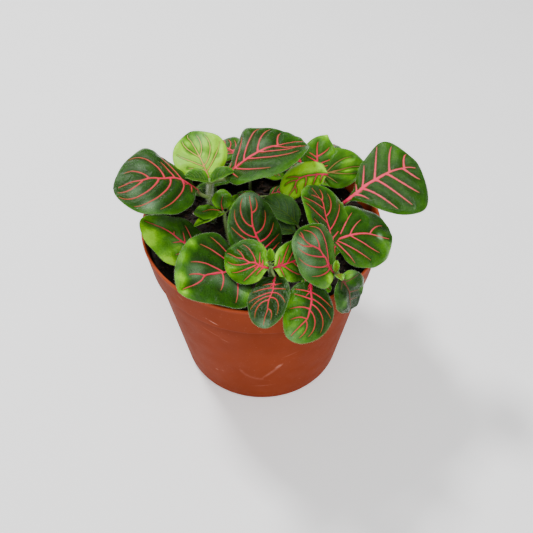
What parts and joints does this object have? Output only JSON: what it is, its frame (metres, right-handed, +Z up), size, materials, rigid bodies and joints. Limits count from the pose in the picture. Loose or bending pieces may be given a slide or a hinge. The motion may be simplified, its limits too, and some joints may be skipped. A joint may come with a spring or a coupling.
{
  "type": "potted nerve plant",
  "caption": "Low foliage plant in a pot: opposite rounded leaves netted with bright veins on short stems, filling and overhanging a round tapered nursery pot with a plain collar.",
  "frame": {"origin": "centre of the pot's underside, on the plane it rests on", "axes": "+Z up along the pot's axis; -Y towards the front of the plant, where two leaves hang over the rim; +X to the right seen from the front"},
  "size_m": [0.1476, 0.1464, 0.1295],
  "materials": {
    "pot_plastic": "satin moulded terracotta-brown polypropylene with light scuffs",
    "peat": null,
    "leaf_green": null
  },
  "bodies": {
    "root": {"pot": "pot_plastic", "soil": "peat", "shoot_front": "leaf_green", "shoot_front_right": "leaf_green", "shoot_hanging": "leaf_green", "shoot_right": "leaf_green", "shoot_far_right": "leaf_green", "shoot_back_left": "leaf_green", "shoot_sprig": "leaf_green", "shoot_left": "leaf_green", "shoot_back_right": "leaf_green", "shoot_middle": "leaf_green", "shoot_low": "leaf_green", "shoot_rear": "leaf_green", "shoot_rear_right": "leaf_green", "shoot_rear_left": "leaf_green"}
  },
  "joints": []
}
